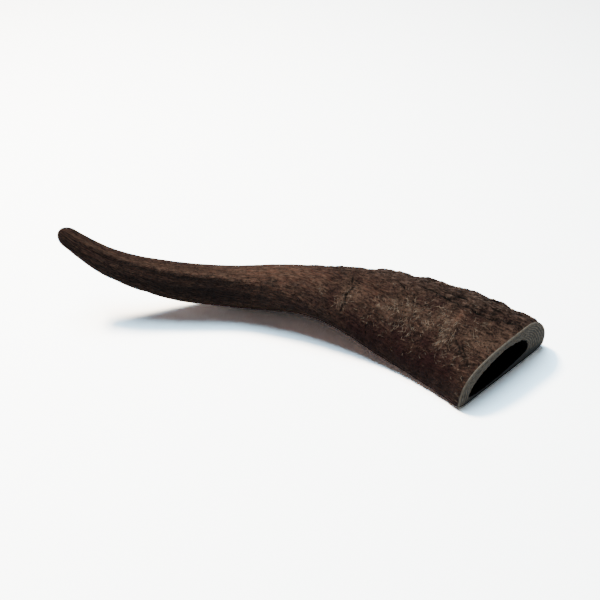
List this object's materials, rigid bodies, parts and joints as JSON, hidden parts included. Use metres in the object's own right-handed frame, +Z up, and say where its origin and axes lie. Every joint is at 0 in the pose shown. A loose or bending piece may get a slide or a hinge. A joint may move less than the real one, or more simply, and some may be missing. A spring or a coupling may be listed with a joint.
{
  "type": "goat horn",
  "caption": "Hollow goat horn sheath, curved, twisted and tapering to a blunt raised tip, sawn flat at the base with a D-shaped open mouth; lies on its flat belly as a chew, craft blank or prop",
  "frame": {"origin": "middle of the footprint, on the surface that the belly rests on", "axes": "+Z is up; +X is the way that the sawn base face looks; the horn runs back to -X and curls to -Y, where the tip rises"},
  "size_m": [0.1548, 0.1474, 0.0469],
  "materials": {
    "horn_sheath": "rough, dry, dark brown horn with scuffed fibres; a greyer sawn face and a dark hollow"
  },
  "bodies": {
    "root": {"horn": "horn_sheath"}
  },
  "joints": []
}
